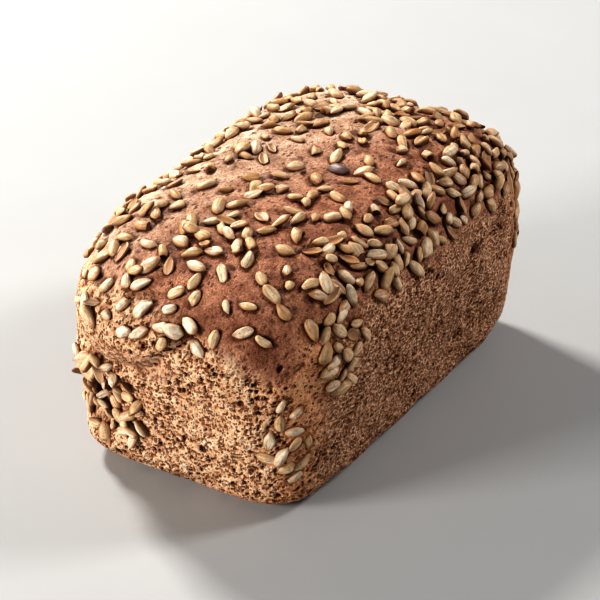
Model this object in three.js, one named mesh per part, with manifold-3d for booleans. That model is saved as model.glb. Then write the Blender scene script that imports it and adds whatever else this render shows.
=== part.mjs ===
// A wholegrain tin loaf with sunflower kernels baked onto its crust, as one solid.
// Millimetres, +Z up. The origin is the middle of the flat base and the length runs along Y.

import * as THREE from "three";
import { mergeVertices } from "three/addons/utils/BufferGeometryUtils.js";
import Module from "manifold-3d";

const wasm = await Module();
wasm.setup();

// Driving dimensions of the loaf
const WIDTH = 111; // across the shoulder, the widest level
const LENGTH = 182;
const SHOULDER_HEIGHT = 58;
const DOME_HEIGHT = 33; // from the shoulder to the top of the crust
const REAR_RISE = 3; // the dome is this much higher at the +Y end and lower at the -Y end
const CRUST_LINE = 70; // depth of the tin: crumb sides below it, open crust above it
const WALL_SLOPE = 0.16; // inward lean of the sides for each millimetre below the shoulder
const BASE_RADIUS = 11; // rounding of the bottom edge

// Roundness of the loaf, as powers of a superellipse: a higher power is squarer
const BASE_POWER = 7;
const SHOULDER_POWER = 3.6;
const DOME_PLAN_POWER = 4;
const DOME_RISE_POWER = 2;

// Mesh of the bare loaf: its cells, and the share of the plan that the top face takes
const CELLS_ACROSS = 14;
const CELLS_ALONG = 22;
const CELLS_UP_WALL = 8;
const CELLS_ROUND_BASE = 3;
const TOP_SHARE = 0.92;

// Relief: waves on the crust and the crumb, then single swells and hollows
const LUMP_HEIGHT = 0.6;
const LUMP_PITCH = [9, 13]; // millimetres for each radian across and along
const CRAG_HEIGHT = 0.5;
const CRAG_PITCH = 4.8;
const WAVE_START = 0.6; // radians
const CRUST_BLEND = 8; // the crust gives way to the crumb over this height each side of its line
const FLAT_MARGIN = 9; // the relief fades out this far above the base
const SWELLS = [
  { at: [-20, -90, 62], reach: [30, 20, 17], height: 3.2 }, // lobe that hangs over the front left
  { at: [-34, -86, 27], reach: [24, 20, 20], height: -6 }, // hollow below the lobe, full of kernels
  { at: [12, -90, 64], reach: [9, 12, 9], height: -2 }, // crease at the lobe's right end
  { at: [18, 50, 92], reach: [17, 9, 12], height: -2.2 }, // torn place on the top
  { at: [55, 42, 58], reach: [14, 12, 9], height: -2.6 }, // cavity in the right side
];

// Sunflower kernels
const KERNEL_LENGTHS = [6.6, 9.8];
const KERNEL_WIDTH = 0.51; // share of the length
const KERNEL_THICKNESS = 0.36; // share of the length
const KERNEL_TAPER = 0.3; // how much slimmer the tip is, and how much fuller the other end
const KERNEL_SIDES = 5;
const KERNEL_BANDS = 3;
const KERNEL_FOOTING = 0.33; // a kernel rests on its middle and on points this share of its length away
const KERNEL_SPREAD = 6.6; // least gap between the kernels that the solid has
const KERNELS_IN_SOLID = 200;
const DARTS = 16000;
const RANDOM_START = 20617;
const RANDOM_FACTOR = 48271;
const RANDOM_RANGE = 2147483647;

// Faces of a cube that is bent to the loaf's shape, with the share of the darts that lands on each
const DART_FACES = [
  { share: 0.4, place: (u, v) => new THREE.Vector3(u, v, 1) }, // top
  { share: 0.2, place: (u, v) => new THREE.Vector3(1, u, v) }, // right
  { share: 0.2, place: (u, v) => new THREE.Vector3(-1, u, v) }, // left
  { share: 0.1, place: (u, v) => new THREE.Vector3(u, 1, v) }, // rear
  { share: 0.1, place: (u, v) => new THREE.Vector3(u, -1, v) }, // front
];

// How the kernels lie: least gap between middles, any share that it varies by from clumps to bare places,
// share of the thickness that is sunk in, largest tilt in degrees, and how high they may pile up.
// The crust has the first cover where no patch is closer.
const TOP_COVER = { gap: 7.2, clump: 0.52, sunk: 0.3, tilt: 14, pile: 2.5 };
const PATCHES = [
  // right shoulder
  { at: [46, 14, 82], reach: [13, 90, 10], gap: 3.9, sunk: 0.3, tilt: 18, pile: 4 },
  // near right corner
  { at: [51, -58, 63], reach: [6, 10, 19], gap: 3.9, sunk: 0.5, tilt: 12, pile: 2.5 },
  // foot of that corner
  { at: [42, -80, 31], reach: [7, 9, 18], gap: 5.2, sunk: 0.74, tilt: 5, pile: 1 },
  // left shoulder
  { at: [-47, 0, 80], reach: [13, 88, 11], gap: 5, clump: 0.25, sunk: 0.34, tilt: 20, pile: 4 },
  // front rim
  { at: [-6, -85, 71], reach: [44, 10, 9], gap: 5.8, clump: 0.35, sunk: 0.36, tilt: 14, pile: 2 },
  // front left hollow
  { at: [-31, -87, 29], reach: [20, 18, 18], gap: 3.4, sunk: 0.38, tilt: 45, pile: 6 },
  // rear of the top
  { at: [27, 52, 90], reach: [22, 22, 10], gap: 5, clump: 0.25, sunk: 0.3, tilt: 18, pile: 3 },
  // rear rim
  { at: [0, 84, 71], reach: [46, 10, 9], gap: 6, clump: 0.35, sunk: 0.36, tilt: 14, pile: 2 },
  // rear right corner
  { at: [46, 78, 58], reach: [10, 14, 20], gap: 4.4, sunk: 0.55, tilt: 10, pile: 2.5 },
  // rear left corner
  { at: [-46, 78, 52], reach: [11, 14, 22], gap: 5.4, clump: 0.2, sunk: 0.64, tilt: 8, pile: 1.5 },
];
const CLUMP_PITCH = [5.3, 6.1]; // millimetres for each radian across and along
const CLUMP_BEND = [2, 9]; // the rows of clumps wind by this many radians, over this many millimetres

const HALF_WIDTH = WIDTH / 2;
const HALF_LENGTH = LENGTH / 2;
const { degToRad, lerp, smoothstep } = THREE.MathUtils;

// Even numbers from 0 to 1 by the minimal standard generator
function makeRandom(state) {
  return () => {
    state = (state * RANDOM_FACTOR) % RANDOM_RANGE;
    return state / RANDOM_RANGE;
  };
}

// Half width, half length and corner power of the smooth loaf's outline at one height
function outlineAt(height) {
  if (height > SHOULDER_HEIGHT) {
    const rise = Math.min(1, (height - SHOULDER_HEIGHT) / DOME_HEIGHT);
    const share = (1 - rise ** DOME_RISE_POWER) ** (1 / DOME_PLAN_POWER);
    return { across: HALF_WIDTH * share, along: HALF_LENGTH * share, power: SHOULDER_POWER };
  }
  const drop = SHOULDER_HEIGHT - height;
  const dip = Math.max(0, BASE_RADIUS - height);
  const inset = WALL_SLOPE * drop + BASE_RADIUS - Math.sqrt(BASE_RADIUS ** 2 - dip ** 2);
  const power = lerp(SHOULDER_POWER, BASE_POWER, drop / SHOULDER_HEIGHT);
  return { across: HALF_WIDTH - inset, along: HALF_LENGTH - inset, power };
}

// Size of a point's own superellipse, where 1 is the outline itself
function gauge(x, y, power) {
  return (Math.abs(x) ** power + Math.abs(y) ** power) ** (1 / power);
}

// Height of the smooth dome where its plan is a share of the shoulder's outline
function domeHeight(share) {
  return SHOULDER_HEIGHT + DOME_HEIGHT * (1 - share ** DOME_PLAN_POWER) ** (1 / DOME_RISE_POWER);
}

// Heights of the rows of the side wall, from the base to the rim of the top face
function wallLevels() {
  const levels = [];
  for (let step = 0; step < CELLS_ROUND_BASE; step += 1) {
    const turn = (Math.PI / 2) * (step / CELLS_ROUND_BASE);
    levels.push(BASE_RADIUS * (1 - Math.cos(turn)));
  }
  const rim = domeHeight(TOP_SHARE);
  for (let step = 0; step <= CELLS_UP_WALL; step += 1) {
    levels.push(lerp(BASE_RADIUS, rim, step / CELLS_UP_WALL));
  }
  return levels;
}

const LEVELS = wallLevels();

// Height on the wall for a share of the way up its rows
function wallHeight(share) {
  const place = share * (LEVELS.length - 1);
  const row = Math.min(LEVELS.length - 2, Math.floor(place));
  return lerp(LEVELS[row], LEVELS[row + 1], place - row);
}

// Point of the smooth loaf for a point on the surface of a cube that reaches from -1 to 1
function smoothPoint(cube) {
  const share = Math.max(Math.abs(cube.x), Math.abs(cube.y));
  if (share === 0) {
    return new THREE.Vector3(0, 0, cube.z > 0 ? domeHeight(0) : 0);
  }
  const onTop = cube.z === 1 && share < 1;
  const height = onTop ? domeHeight(share * TOP_SHARE) : wallHeight((cube.z + 1) / 2);
  const outline = outlineAt(height);
  const x = cube.x / share;
  const y = cube.y / share;
  const scale = (cube.z === -1 ? share : 1) / gauge(x, y, outline.power);
  const point = new THREE.Vector3(x * outline.across * scale, y * outline.along * scale, height);
  const rise = Math.max(0, height - SHOULDER_HEIGHT) / DOME_HEIGHT;
  point.z += (REAR_RISE * rise * point.y) / HALF_LENGTH;
  return point;
}

// Grows outward through the smooth loaf and is 1 on its surface
function fullness(x, y, z) {
  const outline = outlineAt(Math.min(z, SHOULDER_HEIGHT));
  const share = gauge(x / outline.across, y / outline.along, outline.power);
  if (z <= SHOULDER_HEIGHT) {
    return share;
  }
  const rise = (z - SHOULDER_HEIGHT) / (DOME_HEIGHT + (REAR_RISE * y) / HALF_LENGTH);
  return share ** DOME_PLAN_POWER + rise ** DOME_RISE_POWER;
}

// Direction straight out of the smooth loaf at a point of its surface
function outward(point) {
  const step = 0.01;
  const { x, y, z } = point;
  return new THREE.Vector3(
    fullness(x + step, y, z) - fullness(x - step, y, z),
    fullness(x, y + step, z) - fullness(x, y - step, z),
    fullness(x, y, z + step) - fullness(x, y, z - step),
  ).normalize();
}

// How far a point lies from the middle of a patch or a swell, where 1 is its edge
function distanceIn(patch, point) {
  return Math.hypot(
    (point.x - patch.at[0]) / patch.reach[0],
    (point.y - patch.at[1]) / patch.reach[1],
    (point.z - patch.at[2]) / patch.reach[2],
  );
}

// Height of the relief over a point of the smooth surface
function relief(point) {
  const { x, y, z } = point;
  const crust = smoothstep(z, CRUST_LINE - CRUST_BLEND, CRUST_LINE + CRUST_BLEND);
  const lumps = Math.sin(x / LUMP_PITCH[0] + WAVE_START) * Math.sin(y / LUMP_PITCH[1] - WAVE_START);
  const crags = Math.sin((x + y) / CRAG_PITCH + WAVE_START) * Math.sin(z / CRAG_PITCH);
  let height = LUMP_HEIGHT * crust * lumps + CRAG_HEIGHT * (1 - crust) * crags;
  for (const swell of SWELLS) {
    const away = Math.min(1, distanceIn(swell, point));
    height += swell.height * (1 - away * away) ** 2;
  }
  return height * smoothstep(z, 0, FLAT_MARGIN);
}

// Closed solid of a geometry, with shared vertices merged
function solidOf(geometry) {
  geometry.deleteAttribute("normal");
  geometry.deleteAttribute("uv");
  const merged = mergeVertices(geometry);
  const mesh = new wasm.Mesh({
    numProp: 3,
    vertProperties: new Float32Array(merged.attributes.position.array),
    triVerts: new Uint32Array(merged.index.array),
  });
  return new wasm.Manifold(mesh);
}

// The bare loaf: a cube's mesh bent to the loaf's shape
function bareLoaf() {
  const geometry = new THREE.BoxGeometry(2, 2, 2, CELLS_ACROSS, CELLS_ALONG, LEVELS.length - 1);
  const position = geometry.attributes.position;
  const cube = new THREE.Vector3();
  for (let index = 0; index < position.count; index += 1) {
    const point = smoothPoint(cube.fromBufferAttribute(position, index));
    if (cube.z > -1) {
      point.addScaledVector(outward(point), relief(point));
    }
    position.setXYZ(index, point.x, point.y, point.z);
  }
  return solidOf(geometry);
}

// Where a dart lands on the cube
function dartPlace(random) {
  let pick = random();
  const u = 2 * random() - 1;
  const v = 2 * random() - 1;
  const face = DART_FACES.find(({ share }) => {
    pick -= share;
    return pick < 0;
  });
  return (face ?? DART_FACES.at(-1)).place(u, v);
}

// How the kernels lie at a point, or undefined where there are none
function coverAt(point) {
  let cover = point.z > CRUST_LINE ? TOP_COVER : undefined;
  for (const patch of PATCHES) {
    if (distanceIn(patch, point) < 1 && (!cover || patch.gap < cover.gap)) {
      cover = patch;
    }
  }
  return cover;
}

// Least gap between a kernel at a point and its neighbours
function gapAt(cover, point) {
  const across = point.x / CLUMP_PITCH[0] + CLUMP_BEND[0] * Math.sin(point.y / CLUMP_BEND[1]);
  const along = point.y / CLUMP_PITCH[1] + CLUMP_BEND[0] * Math.sin(point.x / CLUMP_BEND[1]);
  return cover.gap * (1 + (cover.clump ?? 0) * Math.sin(across) * Math.sin(along));
}

// Directions across and along a kernel that lies on the surface
function kernelAxes(normal, spin) {
  const helper = Math.abs(normal.z) < 0.9 ? new THREE.Vector3(0, 0, 1) : new THREE.Vector3(0, 1, 0);
  const along = new THREE.Vector3().crossVectors(helper, normal).normalize().applyAxisAngle(normal, spin);
  const across = new THREE.Vector3().crossVectors(along, normal);
  return { along, across };
}

// How high the kernels that already lie under a point reach above the crust
function pileUnder(point, kernels) {
  let tallest = 0;
  for (const kernel of kernels) {
    const away = point.clone().sub(kernel.place);
    const across = (2 * away.dot(kernel.across)) / (kernel.length * KERNEL_WIDTH);
    const along = (2 * away.dot(kernel.along)) / kernel.length;
    const room = 1 - across * across - along * along;
    if (room > 0) {
      tallest = Math.max(tallest, kernel.top * Math.sqrt(room));
    }
  }
  return tallest;
}

// A kernel that lands on a place: it settles on those below it and leans with them
function settleKernel(place, cover, draws, near) {
  const length = lerp(KERNEL_LENGTHS[0], KERNEL_LENGTHS[1], draws[0]);
  const thickness = length * KERNEL_THICKNESS;
  const normal = outward(place);
  const axes = kernelAxes(normal, 2 * Math.PI * draws[1]);
  const foot = length * KERNEL_FOOTING;
  const [heel, middle, tip] = [-foot, 0, foot].map((step) =>
    pileUnder(place.clone().addScaledVector(axes.along, step), near),
  );
  const rest = Math.max(middle, (heel + tip) / 2);
  const wobble = degToRad(cover.tilt);
  return {
    ...axes,
    place,
    normal,
    length,
    rest,
    top: rest + thickness * (1 - cover.sunk),
    lift: relief(place) + rest + thickness * (0.5 - cover.sunk),
    tilt: Math.atan2(tip - heel, 2 * foot) + wobble * (2 * draws[2] - 1),
    roll: wobble * (2 * draws[3] - 1),
  };
}

// Kernels thrown at random, kept where they have room beside each other and don't pile too high
function scatterKernels() {
  const random = makeRandom(RANDOM_START);
  const kernels = [];
  for (let dart = 0; dart < DARTS; dart += 1) {
    const place = smoothPoint(dartPlace(random));
    const draws = Array.from({ length: 4 }, random);
    const cover = coverAt(place);
    if (!cover) {
      continue;
    }
    const gap = gapAt(cover, place);
    if (kernels.some((kernel) => kernel.place.distanceTo(place) < gap)) {
      continue;
    }
    const near = kernels.filter((kernel) => kernel.place.distanceTo(place) < KERNEL_LENGTHS[1]);
    const kernel = settleKernel(place, cover, draws, near);
    if (kernel.rest <= cover.pile) {
      kernels.push(kernel);
    }
  }
  return kernels;
}

// A kernel along its own Y, tip at +Y, flattened along Z, then laid in its place
function kernelSolid(kernel) {
  const geometry = new THREE.SphereGeometry(0.5, KERNEL_SIDES, KERNEL_BANDS);
  const position = geometry.attributes.position;
  for (let index = 0; index < position.count; index += 1) {
    const taper = 1 - 2 * KERNEL_TAPER * position.getY(index);
    position.setX(index, position.getX(index) * taper);
    position.setZ(index, position.getZ(index) * taper);
  }
  geometry.scale(kernel.length * KERNEL_WIDTH, kernel.length, kernel.length * KERNEL_THICKNESS);
  geometry.rotateY(kernel.roll);
  geometry.rotateX(kernel.tilt);
  geometry.applyMatrix4(new THREE.Matrix4().makeBasis(kernel.across, kernel.along, kernel.normal));
  const middle = kernel.place.clone().addScaledVector(kernel.normal, kernel.lift);
  geometry.translate(middle.x, middle.y, middle.z);
  return solidOf(geometry);
}

// The kernels for the solid: the longest first, of those that lie on the crust itself, spread evenly
function spreadKernels() {
  const lying = scatterKernels().filter(({ rest, length }) => rest < (length * KERNEL_THICKNESS) / 2);
  lying.sort((one, other) => other.length - one.length);
  const spread = [];
  for (const kernel of lying) {
    if (spread.every((other) => other.place.distanceTo(kernel.place) > KERNEL_SPREAD)) {
      spread.push(kernel);
    }
  }
  return spread.slice(0, KERNELS_IN_SOLID);
}

// The loaf with kernels fused on. Keeping the largest shell alone leaves off a scrap that touches
// nothing and fills a hollow that the kernels close.
function seededLoaf() {
  const solids = spreadKernels().map(kernelSolid);
  const joined = wasm.Manifold.union([bareLoaf(), ...solids]);
  const shells = joined.decompose().sort((one, other) => other.volume() - one.volume());
  const { vertProperties, triVerts } = shells[0].getMesh();
  const geometry = new THREE.BufferGeometry();
  geometry.setAttribute("position", new THREE.BufferAttribute(new Float32Array(vertProperties), 3));
  geometry.setIndex(new THREE.BufferAttribute(new Uint32Array(triVerts), 1));
  geometry.computeVertexNormals();
  return geometry;
}

const crustMaterial = new THREE.MeshStandardMaterial({ color: 0x96613f, roughness: 0.9, metalness: 0 });
const loaf = new THREE.Mesh(seededLoaf(), crustMaterial);
loaf.name = "loaf";

const part = new THREE.Group();
part.add(loaf);

export default part;
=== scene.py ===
"""Looks of the seeded tin loaf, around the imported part's frame.

The loaf's form and the places of its kernels follow the same rules as the solid, in millimetres.
Meshes, lights and the camera are in metres.
"""

import functools
import itertools
import math

import bpy
import numpy as np
from mathutils import Matrix, Vector


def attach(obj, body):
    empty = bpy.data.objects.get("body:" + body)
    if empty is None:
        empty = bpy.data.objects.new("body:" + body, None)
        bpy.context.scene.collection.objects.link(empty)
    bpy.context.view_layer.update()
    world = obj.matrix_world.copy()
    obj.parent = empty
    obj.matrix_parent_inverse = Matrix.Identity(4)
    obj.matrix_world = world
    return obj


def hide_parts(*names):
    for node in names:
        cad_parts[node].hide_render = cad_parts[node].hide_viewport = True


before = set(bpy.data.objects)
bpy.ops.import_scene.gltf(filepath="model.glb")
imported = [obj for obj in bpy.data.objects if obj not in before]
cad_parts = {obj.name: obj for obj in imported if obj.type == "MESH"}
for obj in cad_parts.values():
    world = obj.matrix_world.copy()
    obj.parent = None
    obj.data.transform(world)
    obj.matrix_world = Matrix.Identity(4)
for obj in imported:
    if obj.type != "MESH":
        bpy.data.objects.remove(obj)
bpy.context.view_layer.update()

METRES = 0.001  # in a millimetre

# Driving dimensions of the loaf, as in the solid
WIDTH = 111
LENGTH = 182
SHOULDER_HEIGHT = 58
DOME_HEIGHT = 33
REAR_RISE = 3
CRUST_LINE = 70
WALL_SLOPE = 0.16
BASE_RADIUS = 11
BASE_POWER = 7
SHOULDER_POWER = 3.6
DOME_PLAN_POWER = 4
DOME_RISE_POWER = 2
TOP_SHARE = 0.92
HALF_WIDTH = WIDTH / 2
HALF_LENGTH = LENGTH / 2

# Broad relief, as in the solid: waves, then swells as (middle, reach, height)
LUMP_HEIGHT = 0.6
LUMP_PITCH = (9, 13)
CRAG_HEIGHT = 0.5
CRAG_PITCH = 4.8
WAVE_START = 0.6
CRUST_BLEND = 8
FLAT_MARGIN = 9
SWELLS = (
    ((-20, -90, 62), (30, 20, 17), 3.2),
    ((-34, -86, 27), (24, 20, 20), -6),
    ((12, -90, 64), (9, 12, 9), -2),
    ((18, 50, 92), (17, 9, 12), -2.2),
    ((55, 42, 58), (14, 12, 9), -2.6),
)

# Rows of the solid's side wall, which the kernels' places are measured on
SOLID_ROWS_ROUND_BASE = 3
SOLID_ROWS_UP_WALL = 8

# Cells of the fine mesh, and triangles of the underside
CELLS_ACROSS = 244
CELLS_ALONG = 400
ROWS_ROUND_BASE = 30
ROWS_UP_WALL = 168
BASE_TRIANGLES = 3000
SKIN_PIECES = ("crust_top", "crumb_base", "crumb_right", "crumb_left", "crumb_rear", "crumb_front")
SKIN_ATTRIBUTES = ("crust", "depth", "ends", "open")

# The edge between crust and crumb, in millimetres
LINE_WANDER = 3.5  # how far it strays
LINE_NOISE = ((14, 21, 1), (4, 22, 0.5))  # size, salt and weight
LINE_BLEND = 5
LINE_FRONT = (22, 6)  # distances from the front end where its course there starts and is full
LINE_TILT = 0.15  # slope by which it falls to the right on the front
LINE_DROP = (9, 8, 40)  # its drop at the front's right corner, and from where to where
LOBE = ((-14, -90, 52), (24, 14, 8), 0.45)  # middle, reach and crust of the front lobe's lower half
LOBE_CORE = 0.5  # share of its reach where that crust is full

# How open the crumb's pores are
OPEN_NOISE = ((13, 51, 1), (5, 52, 0.5))
OPEN_EDGE = (-0.55, 0.25)
OPEN_LEAST = 0.35
CORNER_EDGE = (0.66, 0.84)  # start and end of an upright corner, in half sizes
CORNER_CLOSING = 0.4

# Fine relief in millimetres
GRAIN = ((3.2, 31, 0.3, 0.2), (1.6, 32, 0.22, 0.16), (0.95, 33, 0.14, 0.12))  # size, salt, crust and crumb
PORE_EDGE = 0.15  # width of a pore's rim
PORE_DEPTH = 2.2
PORE_STRETCH = 1.4  # pores are this much longer along the rise of the dough
PORE_RISE = (0.2, 0.62, 0.76)
PORE_WARP = 0.45
PORE_WARP_SIZE = 2.4
PORE_WARP_SALTS = (41, 42, 43)
CELL_LENGTH = 1.7  # cells are this much longer along the loaf than across it
SHORT_WALL = (0.3, 0.7)  # a normal's share along the loaf where short walls start and are full
BED_DEPTH = 0.5
BED_MARGIN = 1.22  # a kernel's bed, as a share of the kernel's own outline, which also carries a painted shadow round the kernel
BED_POWER = 4
BED_RELIEF = 0.4  # share of the relief that is left in a bed
RELIEF_FADE = BASE_RADIUS / 4  # height above the base where the relief is full

# Foams of the crumb on the short and the long walls: small cells with thin ridges between them. A ridge
# goes from its top to the floor beside it, in pitches, and the floors have a least and a greatest depth.
SHORT_FOAM = {"pitch": 1.3, "ridge": (0.03, 0.24), "depths": (0.1, 1.2), "evenness": 2.4, "salt": 14}
LONG_FOAM = {"pitch": 1.3, "ridge": (0.05, 0.4), "depths": (0.2, 1.1), "evenness": 1.2, "salt": 15}

# Small and large bubbles, then dents: lattice pitch, radii, depth for their width, and the share of cells
# that have one on the crumb of the short walls, on that of the long walls, and on the crust
BUBBLE_JITTER = 0.78  # how far bubbles stray, in cells
BUBBLE_SKEW = 1.5  # above 1, small bubbles are more common than large ones
BUBBLE_FIELDS = ("pitch", "radii", "deep", "short", "long", "crust", "salt")
BUBBLE_ROWS = (
    (2.2, (0.45, 1.0), 1.1, 0.15, 0.2, 0.05, 12),
    (5.4, (0.8, 1.6), 1, 0.22, 0.12, 0.01, 13),
    (13, (2, 3.6), 0.8, 0.1, 0.5, 0, 16),
)
*BUBBLES, DENTS = [dict(zip(BUBBLE_FIELDS, row)) for row in BUBBLE_ROWS]
DENT_SHADE = 0.22  # how much of a dent's depth counts as a pit, painted with shade

# The crease under the front lobe
CREASE = ((10, -90, 68), (4, -90, 60), (-7, -89, 50), (-24, -88, 47), (-42, -83, 50))
CREASE_WIDTH = 4.5
CREASE_DEPTH = 2.6
CREASE_POWER = 1.5

# Kernels, as in the solid
KERNEL_LENGTHS = (6.6, 9.8)
KERNEL_WIDTH = 0.51
KERNEL_THICKNESS = 0.36
KERNEL_FOOTING = 0.33
DARTS = 16000
DRAWS_PER_DART = 7
RANDOM_START = 20617
RANDOM_FACTOR = 48271
RANDOM_RANGE = 2147483647
DART_EDGES = (0.4, 0.6, 0.8, 0.9)  # top, right, left and rear end here, and the front takes the rest
CLUMP_PITCH = (5.3, 6.1)
CLUMP_BEND = (2, 9)
TOP_COVER = {"gap": 7.2, "clump": 0.52, "sunk": 0.3, "tilt": 14, "pile": 2.5, "toast": (0.15, 0.7)}
PATCH_FIELDS = ("at", "reach", "gap", "clump", "sunk", "tilt", "pile", "toast")
PATCH_ROWS = (
    ((46, 14, 82), (13, 90, 10), 3.9, 0, 0.3, 18, 4, (0.1, 0.8)),
    ((51, -58, 63), (6, 10, 19), 3.9, 0, 0.5, 12, 2.5, (0.1, 0.6)),
    ((42, -80, 31), (7, 9, 18), 5.2, 0, 0.74, 5, 1, (0.1, 0.5)),
    ((-47, 0, 80), (13, 88, 11), 5, 0.25, 0.34, 20, 4, (0.1, 0.6)),
    ((-6, -85, 71), (44, 10, 9), 5.8, 0.35, 0.36, 14, 2, (0.0, 0.3)),
    ((-31, -87, 29), (20, 18, 18), 3.4, 0, 0.38, 45, 6, (0, 0.5)),
    ((27, 52, 90), (22, 22, 10), 5, 0.25, 0.3, 18, 3, (0.3, 0.85)),
    ((0, 84, 71), (46, 10, 9), 6, 0.35, 0.36, 14, 2, (0.1, 0.6)),
    ((46, 78, 58), (10, 14, 20), 4.4, 0, 0.55, 10, 2.5, (0.3, 0.7)),
    ((-46, 78, 52), (11, 14, 22), 5.4, 0.2, 0.64, 8, 1.5, (0.2, 0.6)),
)
PATCHES = [dict(zip(PATCH_FIELDS, row)) for row in PATCH_ROWS]

# Form of a kernel's mesh, in shares of its half length, half width and half thickness
KERNEL_RINGS = 13
KERNEL_SIDES = 14
KERNEL_DRAWS = 22  # fate, three waves, shoulder, point, toast, taper, breadth, height, then the facets
KERNEL_SHRINK = (0.84, 1.0)  # least and greatest share of its length
KERNEL_ROUNDNESS = 2.1  # power of the outline
KERNEL_FLATNESS = 0.9  # power of the girth in the thickness
KERNEL_WAVES = ((0.06, 2, 5), (0.04, 3, -9), (0.025, 6, 0))  # height, waves around and twist along
KERNEL_BEND = (0.35, 0.3)  # spread of the bends to the sides, and up and down
BEND_LEVEL = 0.1  # square of the place along where the bend is nought
KERNEL_FACETS = 4  # flat places on each kernel
FACET_DRAWS = 10  # where the facets' draws begin, three for each
NIB = (0.5, 0.5, 0.24)  # middle, reach and width of the small point at a kernel's tip
BROKEN_SHARE = 0.14  # kernels that have lost their tip
BROKEN_HOLLOW = 0.14  # depth of a broken end, in whole lengths
SPLIT_SHARE = 0.2  # kernels whose halves have opened
HALVED_SHARE = 0.5  # of those, kernels that are a half with its cut face up
SPLIT_GROOVE = (0.85, 0.3)  # depth and width of the groove between the halves
CUT_FACE = (0.5, 0.8)  # height of a half's rim, and how far its cut face dips from there

# Least values, and what each kernel's draw adds at most
KERNEL_SHOULDER = (0.84, 0.16)  # reach of the tip's half without its nib
KERNEL_POINT = (0.5, 0.15)  # power that makes the ends pointed
KERNEL_TAPER = (0.08, 0.2)
KERNEL_BREADTH = (0.84, 0.36)
KERNEL_HEIGHT = (0.9, 0.35)
FACET_ROOM = (0.6, 0.3)  # how far a facet lies from the middle
BROKEN_LENGTH = (0.5, 2.5)  # share of its length that is left

# Toast and streaks of the kernels
DARK_KERNEL = (13, 1, 91)  # the kernel nearest to this place is burnt
BURNT = (1.5, 1.5)
STREAK_LENGTH = 0.45  # change of the streaks along a kernel for that around it
STREAK_SHIFT = 40  # sets each kernel's streaks apart
LOOKS_START = 4321

# Noises of the materials: size in millimetres, detail, roughness and length along the loaf
CRUST_NOISES = {
    "blotch": (9, 4, 0.6),
    "fine": (1.0, 4, 0.75),
    "speck": (0.6, 2, 0.7),
    "mottle": (7, 4, 0.62),
    "fibre": (0.9, 4, 0.75, CELL_LENGTH),
    "rough": (1.3, 4, 0.75),
}
KERNEL_NOISES = {"grain": (2.2, 4, 0.65), "speck": (0.9, 3, 0.7), "rough": (1.0, 3, 0.6)}
STREAKS = {"Scale": 2.4, "Detail": 3}
FLOOR_NOISE = (60, 3)

# Cells of the materials, in millimetres
PINHOLES = (1.8, 0.3)  # size of the cells, and the widest hole as a share of it
CRUMB_HOLES = (0.95, 0.56)
CORNER_NARROWING = 0.13  # of holes on the front's right corner
WALL_CELLS = 1.08
CELL_WARP_SIZE = 1.6
CELL_WARP = 1.6
HOLE_LUCK = (0, 0.9, 0.1)  # luck of the narrowest and widest holes, and the narrowest width
HOLE_SLOPE = (0.14, -0.08)  # from the floor of a hole to its rim
NET_SLOPE = (0.3, 0.05)

# Parts of the loaf, each by patterns that all have to hold. Between two values, a pattern goes from a share
# of 0 to one of 1, or between the two shares that follow. Places are in metres.
FRONT_CORNER = (("ends", 0.95, 0.7), ("across", 0, 0.02))
RIGHT_WALL = (("ends", 0.45, 0.08), ("across", -0.01, 0.01))
LEFT_WALL = (("ends", 0.45, 0.08), ("across", 0.01, -0.01))
REAR_END = (("along", 0.06, 0.08),)
PAINTED_LIGHT_SLOPE = 0.35  # the edge of the crust's painted light goes this far across for its way along

# Layers of the materials: a linear colour, then the patterns that say where it lies. A shade multiplies
# what it falls on, and has two colours, for shares of 0 and 1.
WHITE = (1, 1, 1)
CRUST_BROWN = (0.4, 0.19, 0.114)
# Painted light on the crust's far left, which faces the key light
CRUST_PAINTED_LIGHT = (
    ((0.8, 0.61, 0.46), ("drift", 0.028, -0.055), ("across", -0.052, -0.044, 0.25, 1),
     ("along", 0.08, 0.06, 0.15, 1)),
)
CRUST_SHADES = (
    (WHITE, (0.76, 0.7, 0.67), ("along", -0.066, -0.082), ("drift", 0.02, 0.05)),  # front rim
    ((0.7, 0.6, 0.53), (1.16, 1.17, 1.18), ("blotch", 0.36, 0.62)),
    ((0.6, 0.51, 0.45), WHITE, ("fine", 0.34, 0.48)),
    ((0.7, 0.62, 0.57), WHITE, ("speck", 0.36, 0.5)),
    (WHITE, (1.4, 1.45, 1.5), ("speck", 0.52, 0.64)),
)
CRUST_LAYERS = (
    # painted shade of pinholes, as dark dots
    ((0.09, 0.03, 0.012), ("pinholes", -0.04, 0.06, 0, 0.85)),
    ((0.08, 0.02, 0.007), ("depth", 0.05, 0.45, 0, 0.8)),  # painted shade in the pits
    ((0.8, 0.6, 0.46), ("depth", -0.12, -0.4, 0, 0.4)),  # painted highlight on the raised grain
)
CRUMB_BROWN = (0.56, 0.27, 0.13)
CRUMB_LAYERS = (
    ((0.76, 0.43, 0.235), ("mottle", 0.36, 0.64)),
    ((0.96, 0.77, 0.56), ("fibre", 0.5, 0.64, 0, 0.7)),
    ((0.27, 0.088, 0.028), ("fibre", 0.49, 0.36, 0, 0.3)),
    ((0.92, 0.69, 0.45), ("holes", -0.3, -0.05, 0, 0.6)),  # painted highlight on the rims of the holes
    ((1.0, 0.8, 0.6), ("speck", 0.52, 0.62, 0, 0.7), ("corner", 0, 1, 0.55, 1)),
    # painted shade in the holes
    ((0.15, 0.034, 0.006), ("holes", -0.06, 0.04, 0, 0.95)),
    ((0.96, 0.77, 0.57), ("depth", 0.08, -0.15), ("open", 0.4, 0.9, 0.2, 0.7)),  # painted highlight on the raised ridges
)
# Painted shade on the front's right corner, which turns away from the light
CORNER_PAINTED_SHADE = (0.97, 0.75, 0.63)
HIDDEN_PAINTED_SHADE = (0.66, 0.56, 0.49)  # painted shade on the left wall and the rear end, which the key light strikes
WALL_BROWN = (0.37, 0.165, 0.083)
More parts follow.
